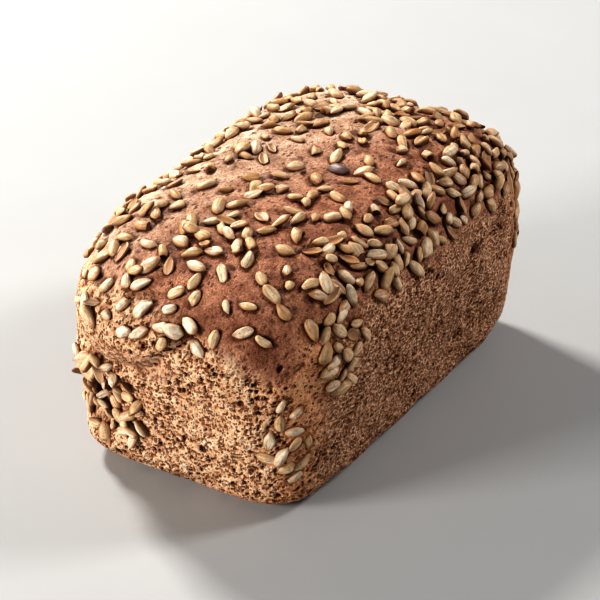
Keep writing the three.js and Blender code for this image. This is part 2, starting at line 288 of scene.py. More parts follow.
WALL_LAYERS = (
    ((0.55, 0.28, 0.15), ("mottle", 0.36, 0.64)),
    ((0.075, 0.021, 0.007), ("net", 0.13, 0.23), ("fibre", 0.57, 0.48, 0, 0.95)),  # painted shade in the pits
    ((1.0, 0.66, 0.45), ("net", 0.11, 0.055), ("fibre", 0.45, 0.54, 0, 0.95)),  # painted highlight on the ridges
)
# Painted shade in the pits, darker where they are deeper
PAINTED_PIT_SHADE = (
    ((0.27, 0.082, 0.024), ("depth", 0.1, 0.4, 0, 0.6)),
    ((0.05, 0.014, 0.005), ("depth", 0.35, 0.8, 0, 0.94)),
)
KERNEL_PALE = (0.84, 0.74, 0.58)
KERNEL_LAYERS = (
    ((0.74, 0.52, 0.3), ("toast", 0, 0.4)),
    ((0.42, 0.2, 0.078), ("toast", 0.4, 0.9)),
    ((0.4, 0.195, 0.07), ("grain", 0.42, 0.7, 0, 0.55)),
    ((0.34, 0.155, 0.05), ("streak", 0.5, 0.68, 0, 0.5)),
    ((0.91, 0.83, 0.7), ("streak", 0.46, 0.3, 0, 0.55)),
    ((0.36, 0.165, 0.055), ("speck", 0.54, 0.68, 0, 0.6)),
    ((0.28, 0.105, 0.03), ("along", 0.66, 0.95), ("luck", 0.1, 0.8, 0.25, 0.95)),  # tip
    ((0.38, 0.17, 0.055), ("along", 0.2, 0.02), ("luck", 0.9, 0.3, 0, 0.8)),  # heel
    ((0.34, 0.165, 0.07), ("face", 0.8, 0.93), ("half", 0, 1, 0, 0.85)),  # cut face
    ((0.4, 0.19, 0.064), ("face", 0.96, 0.7, 0, 0.6)),  # painted shade on the sides
    ((0.12, 0.042, 0.013), ("face", 0.7, 0.42, 0, 0.85)),  # painted shade underneath, a dark outline where a kernel meets the crust
    ((0.1, 0.035, 0.012), ("along", 0.9966, 0.9985, 0, 0.9)),  # painted shade in a broken end's hollow
    ((0.13, 0.085, 0.085), ("toast", 1.2, 1.5, 0, 0.95)),  # burnt
)
FLOOR_COLOURS = ((0.42, 0.43, 0.44), (0.45, 0.46, 0.47))

# Camera, fitted to the photograph's frame
CAMERA_AZIMUTH = 31.671
CAMERA_ELEVATION = 29.5
CAMERA_DISTANCE = 0.9
CAMERA_LENS = 150.36
CAMERA_SENSOR = 36
AIM_HEIGHT = 0.045
AIM_RIGHT = -0.001743
AIM_UP = -0.007995

# Lights in metres and watts, each aimed at the origin
LIGHT_DISTANCE = 1.5
LIGHTS = (
    ("rear_key", (-0.7, 0.28, 0.65), (0.24, 0.24), 22, (1, 0.96, 0.9)),
    ("front_soft", (-0.5, -0.81, 0.3), (0.5, 0.4), 19.5, (1, 0.97, 0.92)),
    ("right_fill", (0.55, 0.5, 0.62), (0.3, 0.3), 9, (1, 0.97, 0.94)),
)
SKY_COLOUR = (1, 0.98, 0.96, 1)
SKY_STRENGTH = 0.14
FLOOR_SIZE = 8


# Noise


def mix_bits(key):
    key = key + np.uint64(0x9E3779B97F4A7C15)
    key = (key ^ (key >> np.uint64(30))) * np.uint64(0xBF58476D1CE4E5B9)
    key = (key ^ (key >> np.uint64(27))) * np.uint64(0x94D049BB133111EB)
    return key ^ (key >> np.uint64(31))


def cell_numbers(cells, salt, count):
    """Lists of even numbers from 0 to 1, one number for each whole-numbered cell."""
    key = np.full(len(cells), salt, np.uint64)
    for axis in range(3):
        key = mix_bits(key + cells[:, axis].astype(np.int64).astype(np.uint64))
    numbers = []
    for _ in range(count):
        key = mix_bits(key)
        numbers.append((key >> np.uint64(11)) / 2.0**53)
    return numbers


def soft_noise(points, size, salt):
    """Smooth noise from -1 to 1, with lumps of a size in millimetres."""
    place = points / size
    base = np.floor(place)
    part = place - base
    part = part * part * (3 - 2 * part)
    total = np.zeros(len(points))
    for corner in itertools.product((0, 1), repeat=3):
        weight = np.prod(np.where(corner, part, 1 - part), axis=1)
        total += weight * cell_numbers(base + corner, salt, 1)[0]
    return 2 * total - 1


def layered_noise(points, layers):
    """Sum of soft noises, each with its size, salt and weight."""
    return sum(weight * soft_noise(points, size, salt) for size, salt, weight in layers)


def between(low, high, share):
    return low + (high - low) * share


def smooth_step(low, high, value):
    share = np.clip((value - low) / (high - low), 0, 1)
    return share * share * (3 - 2 * share)


def random_table(rows, columns, state):
    """Even numbers from 0 to 1 by the minimal standard generator, row by row."""
    numbers = np.empty(rows * columns)
    for index in range(len(numbers)):
        state = state * RANDOM_FACTOR % RANDOM_RANGE
        numbers[index] = state / RANDOM_RANGE
    return numbers.reshape(rows, columns)


# Form of the loaf


def outline_at(height):
    """Half width, half length and corner power of the smooth loaf's outline at each height."""
    rise = np.clip((height - SHOULDER_HEIGHT) / DOME_HEIGHT, 0, 1)
    share = (1 - rise**DOME_RISE_POWER) ** (1 / DOME_PLAN_POWER)
    drop = np.maximum(0, SHOULDER_HEIGHT - height)
    dip = np.clip(BASE_RADIUS - height, 0, BASE_RADIUS)
    inset = WALL_SLOPE * drop + BASE_RADIUS - np.sqrt(BASE_RADIUS**2 - dip**2)
    power = SHOULDER_POWER + (BASE_POWER - SHOULDER_POWER) * drop / SHOULDER_HEIGHT
    return HALF_WIDTH * share - inset, HALF_LENGTH * share - inset, power


def gauge(x, y, power):
    return (np.abs(x) ** power + np.abs(y) ** power) ** (1 / power)


def dome_height(share):
    return SHOULDER_HEIGHT + DOME_HEIGHT * (1 - share**DOME_PLAN_POWER) ** (1 / DOME_RISE_POWER)


def wall_levels(rows_round_base, rows_up_wall):
    """Heights of the rows of the side wall, from the base to the rim of the top face."""
    turns = np.arange(rows_round_base) / rows_round_base * math.pi / 2
    straight = np.linspace(BASE_RADIUS, dome_height(TOP_SHARE), rows_up_wall + 1)
    return np.concatenate([BASE_RADIUS * (1 - np.cos(turns)), straight])


def smooth_points(cube, levels):
    """Points of the smooth loaf for points on the surface of a cube that reaches from -1 to 1."""
    share = np.maximum(np.abs(cube[:, 0]), np.abs(cube[:, 1]))
    flat = cube[:, :2] / np.maximum(share, 1e-9)[:, None]
    rows = len(levels) - 1
    wall = np.interp((cube[:, 2] + 1) / 2 * rows, np.arange(rows + 1), levels)
    height = np.where(cube[:, 2] >= 1, dome_height(share * TOP_SHARE), wall)
    across, along, power = outline_at(height)
    scale = np.where(cube[:, 2] <= -1, share, 1) / np.maximum(gauge(flat[:, 0], flat[:, 1], power), 1e-9)
    points = np.stack([flat[:, 0] * across * scale, flat[:, 1] * along * scale, height], axis=1)
    rise = np.maximum(0, height - SHOULDER_HEIGHT) / DOME_HEIGHT
    points[:, 2] += REAR_RISE * rise * points[:, 1] / HALF_LENGTH
    return points


def fullness(points):
    """Grows outward through the smooth loaf and is 1 on its surface."""
    x, y, z = points.T
    across, along, power = outline_at(np.minimum(z, SHOULDER_HEIGHT))
    share = gauge(x / across, y / along, power)
    rise = (z - SHOULDER_HEIGHT) / (DOME_HEIGHT + REAR_RISE * y / HALF_LENGTH)
    dome = share**DOME_PLAN_POWER + np.abs(rise) ** DOME_RISE_POWER
    return np.where(z > SHOULDER_HEIGHT, dome, share)


def outward(points):
    """Directions straight out of the smooth loaf."""
    step = 0.01
    shifts = step * np.eye(3)
    slopes = [(fullness(points + shift) - fullness(points - shift)) / (2 * step) for shift in shifts]
    slope = np.stack(slopes, axis=1)
    return slope / np.linalg.norm(slope, axis=1, keepdims=True)


def distance_in(points, at, reach):
    """How far points lie from the middle of a patch or a swell, where 1 is its edge."""
    return np.linalg.norm((points - np.array(at)) / np.array(reach), axis=-1)


def relief(points):
    """Height of the broad relief over points of the smooth surface."""
    x, y, z = points.T
    crust = smooth_step(CRUST_LINE - CRUST_BLEND, CRUST_LINE + CRUST_BLEND, z)
    lumps = np.sin(x / LUMP_PITCH[0] + WAVE_START) * np.sin(y / LUMP_PITCH[1] - WAVE_START)
    crags = np.sin((x + y) / CRAG_PITCH + WAVE_START) * np.sin(z / CRAG_PITCH)
    height = LUMP_HEIGHT * crust * lumps + CRAG_HEIGHT * (1 - crust) * crags
    for at, reach, tall in SWELLS:
        away = np.minimum(1, distance_in(points, at, reach))
        height = height + tall * (1 - away**2) ** 2
    return height * smooth_step(0, FLAT_MARGIN, z)


# Places of the kernels


def dart_places(numbers):
    """Places on the cube: three draws each, for the face and the place on it."""
    face = np.searchsorted(DART_EDGES, numbers[:, 0], side="right")
    u = 2 * numbers[:, 1] - 1
    v = 2 * numbers[:, 2] - 1
    one = np.ones_like(u)
    faces = np.array([(u, v, one), (one, u, v), (-one, u, v), (u, one, v), (u, -one, v)])
    return faces[face, :, np.arange(len(face))]


def covers_at(points):
    """The cover at each point, as an index into the top cover and the patches, or -1 for none."""
    gaps = np.where(points[:, 2] > CRUST_LINE, TOP_COVER["gap"], np.inf)
    chosen = np.where(points[:, 2] > CRUST_LINE, 0, -1)
    for number, patch in enumerate(PATCHES, 1):
        better = (distance_in(points, patch["at"], patch["reach"]) < 1) & (patch["gap"] < gaps)
        gaps[better] = patch["gap"]
        chosen[better] = number
    return chosen


def gaps_at(points, covers):
    """Least gap between a kernel at each point and its neighbours."""
    x, y, _ = points.T
    across = x / CLUMP_PITCH[0] + CLUMP_BEND[0] * np.sin(y / CLUMP_BEND[1])
    along = y / CLUMP_PITCH[1] + CLUMP_BEND[0] * np.sin(x / CLUMP_BEND[1])
    gap, clump = np.array([(cover["gap"], cover["clump"]) for cover in covers]).T
    return gap * (1 + clump * np.sin(across) * np.sin(along))


def kernel_axes(normal, spin):
    """Directions across and along a kernel that lies on the surface."""
    helper = Vector((0, 0, 1)) if abs(normal[2]) < 0.9 else Vector((0, 1, 0))
    normal = Vector(normal)
    along = Matrix.Rotation(spin, 3, normal) @ helper.cross(normal).normalized()
    return np.array(along.cross(normal)), np.array(along)


def pile_under(point, kernels):
    """How high the kernels that already lie under a point reach above the crust."""
    tallest = 0.0
    for kernel in kernels:
        away = point - kernel["place"]
        across = 2 * (away @ kernel["across"]) / (kernel["length"] * KERNEL_WIDTH)
        along = 2 * (away @ kernel["along"]) / kernel["length"]
        room = 1 - across**2 - along**2
        if room > 0:
            tallest = max(tallest, kernel["top"] * math.sqrt(room))
    return tallest


def settle_kernel(place, normal, bump, cover, draws, near):
    """A kernel that lands on a place: it settles on those below it and leans with them."""
    length = between(*KERNEL_LENGTHS, draws[0])
    thickness = length * KERNEL_THICKNESS
    across, along = kernel_axes(normal, 2 * math.pi * draws[1])
    foot = length * KERNEL_FOOTING
    heel, middle, tip = (pile_under(place + along * step, near) for step in (-foot, 0, foot))
    rest = max(middle, (heel + tip) / 2)
    wobble = math.radians(cover["tilt"])
    return {
        "place": place, "normal": normal, "across": across, "along": along, "length": length, "rest": rest,
        "top": rest + thickness * (1 - cover["sunk"]),
        "lift": bump + rest + thickness * (0.5 - cover["sunk"]),
        "tilt": math.atan2(tip - heel, 2 * foot) + wobble * (2 * draws[2] - 1),
        "roll": wobble * (2 * draws[3] - 1),
        "toast": cover["toast"],
    }


def scatter_kernels():
    """Kernels thrown at random, kept where they have room beside each other and don't pile too high."""
    numbers = random_table(DARTS, DRAWS_PER_DART, RANDOM_START)
    levels = wall_levels(SOLID_ROWS_ROUND_BASE, SOLID_ROWS_UP_WALL)
    places = smooth_points(dart_places(numbers), levels)
    normals = outward(places)
    bumps = relief(places)
    chosen = covers_at(places)
    choices = (TOP_COVER, *PATCHES)
    covers = [choices[number] for number in chosen]
    gaps = gaps_at(places, covers)
    kernels = []
    taken = np.empty((0, 3))
    for index in np.flatnonzero(chosen >= 0):
        away = np.linalg.norm(taken - places[index], axis=1)
        if len(away) and away.min() < gaps[index]:
            continue
        near = [kernels[number] for number in np.flatnonzero(away < KERNEL_LENGTHS[1])]
        draws = numbers[index, 3:]
        kernel = settle_kernel(places[index], normals[index], bumps[index], covers[index], draws, near)
        if kernel["rest"] <= covers[index]["pile"]:
            kernels.append(kernel)
            taken = np.vstack([taken, places[index]])
    return kernels


# The crust and crumb


def cube_grid(counts):
    """Points of a cube's surface, cut into cells along each axis, and each face's quads."""
    faces = ((2, 1, 0, 1), (2, 0, 1, 0), (0, 1, 1, 2), (0, 0, 2, 1), (1, 1, 2, 0), (1, 0, 0, 2))
    quads = []
    for fixed, end, first, second in faces:
        u, v = np.meshgrid(np.arange(counts[first]), np.arange(counts[second]), indexing="ij")
        quad = np.zeros((u.size, 4, 3), np.int64)
        quad[:, :, fixed] = end * counts[fixed]
        quad[:, :, first] = u.reshape(-1, 1) + np.array((0, 1, 1, 0))
        quad[:, :, second] = v.reshape(-1, 1) + np.array((0, 0, 1, 1))
        quads.append(quad)
    corners = np.concatenate(quads).reshape(-1, 3)
    key = (corners[:, 0] * (counts[1] + 1) + corners[:, 1]) * (counts[2] + 1) + corners[:, 2]
    _, index, back = np.unique(key, return_index=True, return_inverse=True)
    ends = np.cumsum([len(quad) for quad in quads])[:-1]
    return 2 * corners[index] / np.array(counts) - 1, np.split(back.reshape(-1, 4), ends)


def crust_share(points):
    """1 on the open crust and 0 on the crumb, with a wandering edge between them."""
    x, y, z = points.T
    wander = LINE_WANDER * layered_noise(points, LINE_NOISE)
    start, full = LINE_FRONT
    front = smooth_step(start - HALF_LENGTH, full - HALF_LENGTH, y)
    drop, start, end = LINE_DROP
    level = z + wander + front * (LINE_TILT * x + drop * smooth_step(start, end, x))
    crust = smooth_step(CRUST_LINE - LINE_BLEND, CRUST_LINE + LINE_BLEND, level)
    at, reach, share = LOBE
    return np.maximum(crust, share * smooth_step(1, LOBE_CORE, distance_in(points, at, reach)))


def crumb_openness(points):
    """How open the crumb's pores are: less in smooth patches and on the loaf's upright corners."""
    patches = smooth_step(*OPEN_EDGE, layered_noise(points, OPEN_NOISE))
    corner = np.minimum(np.abs(points[:, 0]) / HALF_WIDTH, np.abs(points[:, 1]) / HALF_LENGTH)
    closing = CORNER_CLOSING * smooth_step(*CORNER_EDGE, corner)
    return (OPEN_LEAST + (1 - OPEN_LEAST) * patches) * (1 - closing)


def foam_depth(points, foam):
    """How deep the surface falls between the ridges of a foam."""
    place = points / foam["pitch"]
    base = np.floor(place)
    nearest = np.full(len(points), np.inf)
    second = nearest
    luck = np.zeros(len(points))
    for step in itertools.product((-1, 0, 1), repeat=3):
        corner = base + step
        x, y, z, number = cell_numbers(corner, foam["salt"], 4)
        stray = BUBBLE_JITTER * (np.stack([x, y, z], axis=1) - 0.5)
        distance = np.linalg.norm(place - corner - 0.5 - stray, axis=1)
        luck = np.where(distance < nearest, number, luck)
        second = np.minimum(second, np.maximum(nearest, distance))
        nearest = np.minimum(nearest, distance)
    floor = between(*foam["depths"], luck ** foam["evenness"])
    return floor * smooth_step(*foam["ridge"], second - nearest)


def bubble_depth(points, normals, bubbles, share):
    """How deep the surface falls into the bubbles of a lattice that has at most one bubble a cell."""
    pitch = bubbles["pitch"]
    base = np.floor(points / pitch)
    deepest = np.zeros(len(points))
    for step in itertools.product((-1, 0, 1), repeat=3):
        corner = base + step
        x, y, z, size, luck = cell_numbers(corner, bubbles["salt"], 5)
        stray = BUBBLE_JITTER * (np.stack([x, y, z], axis=1) - 0.5)
        away = points - (corner + 0.5 + stray) * pitch
        radius = between(*bubbles["radii"], size**BUBBLE_SKEW)
        distance = np.linalg.norm(away, axis=1)
        rise = np.sum(away * normals, axis=1)
        depth = rise + np.sqrt(np.maximum(0, radius**2 - distance**2 + rise**2))
        rim = np.clip((radius - distance) / PORE_EDGE, 0, 1)
        deepest = np.maximum(deepest, np.where(luck < share, depth * rim, 0))
    return np.minimum(deepest * bubbles["deep"], PORE_DEPTH)


def bubble_share(bubbles, openness, ends, crust):
    """Share of a lattice's cells that have a bubble."""
    share = openness * between(bubbles["long"], bubbles["short"], ends)
    return between(share, bubbles["crust"], crust)


def line_distance(points, path):
    """Distance from points to a line of straight stretches."""
    nearest = np.full(len(points), np.inf)
    for start, end in zip(np.array(path[:-1], float), np.array(path[1:], float)):
        stretch = end - start
        share = np.clip((points - start) @ stretch / (stretch @ stretch), 0, 1)
        nearest = np.minimum(nearest, np.linalg.norm(points - start - share[:, None] * stretch, axis=1))
    return nearest


def kernel_beds(points, kernels):
    """Depth of the beds that the kernels on the crust lie in."""
    depth = np.zeros(len(points))
    for kernel in kernels:
        half = kernel["length"] / 2 * BED_MARGIN
        near = np.flatnonzero(np.abs(points - kernel["place"]).max(axis=1) < half)
        away = points[near] - kernel["place"]
        across = away @ kernel["across"] / (half * KERNEL_WIDTH)
        along = away @ kernel["along"] / half
        reach = np.minimum(1, np.hypot(across, along))
        depth[near] = np.maximum(depth[near], BED_DEPTH * (1 - reach**BED_POWER))
    return depth


def fine_relief(points, normals, kernels):
    """Height of the fine relief, and how far points lie in its pits: grain, pores and the kernels' beds."""
    crust = crust_share(points)
    height = np.zeros(len(points))
    for size, salt, on_crust, on_crumb in GRAIN:
        height += between(on_crumb, on_crust, crust) * soft_noise(points, size, salt)
    warp = np.stack([soft_noise(points, PORE_WARP_SIZE, salt) for salt in PORE_WARP_SALTS], axis=1)
    rise = np.array(PORE_RISE)
    dough = points + PORE_WARP * warp
    dough = dough - (1 - 1 / PORE_STRETCH) * (dough @ rise)[:, None] * rise
    dough[:, 1] /= CELL_LENGTH
    openness = crumb_openness(points)
    ends = np.abs(normals[:, 1])
    dents = bubble_depth(dough, normals, DENTS, bubble_share(DENTS, 1, ends, crust))
    short = smooth_step(*SHORT_WALL, ends)
    foam = short * foam_depth(dough, SHORT_FOAM) + (1 - short) * foam_depth(dough, LONG_FOAM)
    pores = openness * (1 - crust) * foam
    for bubbles in BUBBLES:
        share = bubble_share(bubbles, openness, ends, crust)
        pores = np.maximum(pores, bubble_depth(dough, normals, bubbles, share))
    height -= pores
    height = np.minimum(height, height * BED_RELIEF - kernel_beds(points, kernels))
    # The pits get painted shade in the materials, and raised grain gets a painted highlight; the crease
    # below is left out of them
    pits = DENT_SHADE * dents - height
    crease = np.maximum(0, 1 - line_distance(points, CREASE) / CREASE_WIDTH)
    height -= CREASE_DEPTH * crease**CREASE_POWER + dents
    return height * smooth_step(0, RELIEF_FADE, points[:, 2]), pits


def mesh_object(name, points, faces):
    """A smooth-shaded mesh object from points in millimetres and rows of point numbers."""
    mesh = bpy.data.meshes.new(name)
    sides = faces.shape[1]
    mesh.vertices.add(len(points))
    mesh.vertices.foreach_set("co", (points * METRES).astype(np.float32).ravel())
    mesh.loops.add(faces.size)
    mesh.loops.foreach_set("vertex_index", faces.astype(np.int32).ravel())
    mesh.polygons.add(len(faces))
    mesh.polygons.foreach_set("loop_start", np.arange(0, faces.size, sides, dtype=np.int32))
    mesh.update(calc_edges=True)
    mesh.validate()
    mesh.shade_smooth()
    thing = bpy.data.objects.new(name, mesh)
    bpy.context.scene.collection.objects.link(thing)
    return thing


def set_attribute(mesh, name, kind, values):
    field = {"FLOAT": "value", "FLOAT_COLOR": "color", "FLOAT_VECTOR": "vector"}[kind]
    attribute = mesh.attributes.new(name, kind, "POINT")
    attribute.data.foreach_set(field, np.asarray(values, np.float32).ravel())


def thin_out(thing, triangles):
    """Reduces a mesh to about a number of triangles."""
    modifier = thing.modifiers.new("thin", "DECIMATE")
    modifier.ratio = triangles / (2 * len(thing.data.polygons))
    modifier.use_collapse_triangulate = True
    made = thing.evaluated_get(bpy.context.evaluated_depsgraph_get())
    mesh = bpy.data.meshes.new_from_object(made)
    thing.modifiers.clear()
    thing.data = mesh


def corner_normals(points, quads):
    """Smooth normals of a closed mesh of quads, by point."""
    corners = points[quads]
    faces = np.cross(corners[:, 2] - corners[:, 0], corners[:, 3] - corners[:, 1])
    total = np.stack([
        np.bincount(quads.ravel(), np.repeat(faces[:, axis], 4), len(points)) for axis in range(3)
    ], axis=1)
    return total / np.linalg.norm(total, axis=1, keepdims=True)


def build_skin(kernels):
    """The loaf's skin: the crust, the four crumb sides and the underside, which share their edges."""
    counts = (CELLS_ACROSS, CELLS_ALONG, ROWS_ROUND_BASE + ROWS_UP_WALL)
    cube, faces = cube_grid(counts)
    smooth = smooth_points(cube, wall_levels(ROWS_ROUND_BASE, ROWS_UP_WALL))
    points = smooth.copy()
    depth, ends = np.zeros((2, len(points)))
    raised = np.flatnonzero(cube[:, 2] > -1)
    surface = smooth[raised]
    normals = outward(surface)
    ends[raised] = np.abs(normals[:, 1])
    fine, depth[raised] = fine_relief(surface, normals, kernels)
    points[raised] += normals * (relief(surface) + fine)[:, None]
    points[:, 2] = np.maximum(points[:, 2], 0)
    shading = corner_normals(points, np.concatenate(faces))
    crust = crust_share(smooth)
    opened = crumb_openness(smooth)

    pieces = []
    for name, face in zip(SKIN_PIECES, faces):
        used, quads = np.unique(face, return_inverse=True)
        piece = mesh_object(name, points[used], quads.reshape(-1, 4))
        for attribute, values in zip(SKIN_ATTRIBUTES, (crust, depth, ends, opened)):
            set_attribute(piece.data, attribute, "FLOAT", values[used])
        if name == "crumb_base":
            thin_out(piece, BASE_TRIANGLES)
        else:
            piece.data.normals_split_custom_set_from_vertices(shading[used])
        pieces.append(piece)
    return pieces


# The kernels


def drawn(least_and_growth, draws):
    """A value for each draw from 0 to 1."""
    least, growth = least_and_growth
    return least + growth * draws


def kernel_shapes(numbers, split):
    """Points of unit kernels with the tip at +Y, ring by ring, and each point's share along and turn."""
    steps = (np.arange(KERNEL_RINGS) + 0.5) / KERNEL_RINGS
    rings = (1 - np.cos(math.pi * steps)) / 2
    turns = 2 * math.pi * np.arange(KERNEL_SIDES) / KERNEL_SIDES
    along = np.concatenate([[0], np.repeat(rings, KERNEL_SIDES), [1]])
    turn = np.concatenate([[0], np.tile(turns, KERNEL_RINGS), [0]])
    broken = numbers[:, 0:1] < BROKEN_SHARE
    whole = np.where(broken, drawn(BROKEN_LENGTH, numbers[:, 0:1]), 1)
    share = along
    along = along[None, :] * whole
    place = 2 * along - 1
    shoulder = np.where(place < 0, 1, drawn(KERNEL_SHOULDER, numbers[:, 4:5]))
    girth = np.maximum(0, 1 - np.abs(place / shoulder) ** KERNEL_ROUNDNESS)
    girth = girth ** drawn(KERNEL_POINT, numbers[:, 5:6])
    middle, reach, width = NIB
    nib = np.sqrt(np.maximum(0, 1 - ((place - middle) / reach) ** 2))
    girth = np.maximum(girth, width * nib)
    girth[:, -1] = 0
    along[:, -1] -= BROKEN_HOLLOW * broken[:, 0]
    taper = 1 - drawn(KERNEL_TAPER, numbers[:, 7:8]) * place
    phases = 2 * math.pi * numbers[:, 1:4, None]
    waves = 1
    for (height, around, twist), phase in zip(KERNEL_WAVES, np.moveaxis(phases, 1, 0)):
        waves = waves + height * np.sin(around * turn + twist * along + phase)
    x = girth * taper * np.cos(turn) * waves
    z = girth**KERNEL_FLATNESS * taper * np.sin(turn) * waves
    points = np.stack([x, 2 * along - 1, z], axis=2)
    for facet in range(KERNEL_FACETS):
        first = FACET_DRAWS + 3 * facet
        azimuth, tilt, room = numbers[:, first:first + 3].T
        azimuth = 2 * math.pi * azimuth
        tilt = 2 * tilt - 1
        level = np.sqrt(1 - tilt**2)
        direction = np.stack([level * np.cos(azimuth), tilt, level * np.sin(azimuth)], axis=1)
        excess = np.einsum("kpa,ka->kp", points, direction) - drawn(FACET_ROOM, room)[:, None]
        points -= np.maximum(0, excess)[:, :, None] * direction[:, None, :]
    x, y, z = np.moveaxis(points / 2, 2, 0)
    if split:
        groove = 1 - SPLIT_GROOVE[0] * np.exp(-((np.cos(turn) / SPLIT_GROOVE[1]) ** 2))
        hollow = CUT_FACE[0] - CUT_FACE[1] * np.sin(turn) ** 2
        z = z * np.where(np.sin(turn) > 0, np.where(halved(numbers)[:, None], hollow, groove), 1)
    x = x * drawn(KERNEL_BREADTH, numbers[:, 8:9])
    z = z * drawn(KERNEL_HEIGHT, numbers[:, 9:10])
    x = x + (numbers[:, 4:5] - 0.5) * KERNEL_BEND[0] * (y**2 - BEND_LEVEL)
    z = z + (numbers[:, 5:6] - 0.5) * KERNEL_BEND[1] * (y**2 - BEND_LEVEL)
    return np.stack([x, y, z], axis=2), np.broadcast_to(share, x.shape), np.broadcast_to(turn, x.shape)


def halved(numbers):
    """Which of the split kernels are halves with their cut face up."""
    return numbers[:, 0] > 1 - SPLIT_SHARE * HALVED_SHARE


def kernel_faces():
    """Triangles of one kernel, facing out."""
    around = np.arange(KERNEL_SIDES)
    beside = (around + 1) % KERNEL_SIDES
    faces = [np.stack([np.zeros_like(around), 1 + beside, 1 + around], axis=1)]
    for ring in range(KERNEL_RINGS - 1):
        low = 1 + ring * KERNEL_SIDES
        high = low + KERNEL_SIDES
        faces.append(np.stack([low + around, low + beside, high + beside], axis=1))
        faces.append(np.stack([low + around, high + beside, high + around], axis=1))
    last = 1 + (KERNEL_RINGS - 1) * KERNEL_SIDES
    tip = np.full_like(around, last + KERNEL_SIDES)
    faces.append(np.stack([last + around, last + beside, tip], axis=1))
    return np.concatenate(faces)


def turn_about(points, angle, first, second):
    """Points turned by each kernel's own angle, from the first axis towards the second."""
    cosine = np.cos(angle)[:, None]
    sine = np.sin(angle)[:, None]
    turned = points.copy()
    turned[:, :, first] = points[:, :, first] * cosine - points[:, :, second] * sine
    turned[:, :, second] = points[:, :, first] * sine + points[:, :, second] * cosine
    return turned


def build_kernels(name, kernels, numbers, split):
    """One joined mesh of kernels, laid in their places."""
    each = {key: np.array([kernel[key] for kernel in kernels]) for key in kernels[0]}
    shapes, along, turn = kernel_shapes(numbers, split)
    shrink = between(*KERNEL_SHRINK, numbers[:, 2])
    length = shrink * each["length"]
    size = np.stack([length * KERNEL_WIDTH, length, length * KERNEL_THICKNESS], axis=1)
    points = shapes * size[:, None, :]
    points = turn_about(points, each["roll"], 2, 0)
    points = turn_about(points, each["tilt"], 1, 2)
    axes = np.stack([each["across"], each["along"], each["normal"]], axis=1)
    middles = each["place"] + each["normal"] * each["lift"][:, None]
    points = np.einsum("kpa,kac->kpc", points, axes) + middles[:, None, :]
    starts = points.shape[1] * np.arange(len(kernels))
    faces = kernel_faces() + starts[:, None, None]
    thing = mesh_object(name, points.reshape(-1, 3), faces.reshape(-1, 3))
    toast = between(*each["toast"].T, numbers[:, 6])[:, None]
    face = (1 + np.sin(turn)) / 2
    luck = numbers[:, 7:8] + halved(numbers)[:, None]
    looks = np.stack(np.broadcast_arrays(toast, along, face, luck), axis=2)
    set_attribute(thing.data, "kernel", "FLOAT_COLOR", looks)
    skin = np.stack([np.cos(turn), np.sin(turn), STREAK_LENGTH * along], axis=2)
    set_attribute(thing.data, "skin", "FLOAT_VECTOR", skin + STREAK_SHIFT * numbers[:, None, 1:4])
    return thing


# Materials


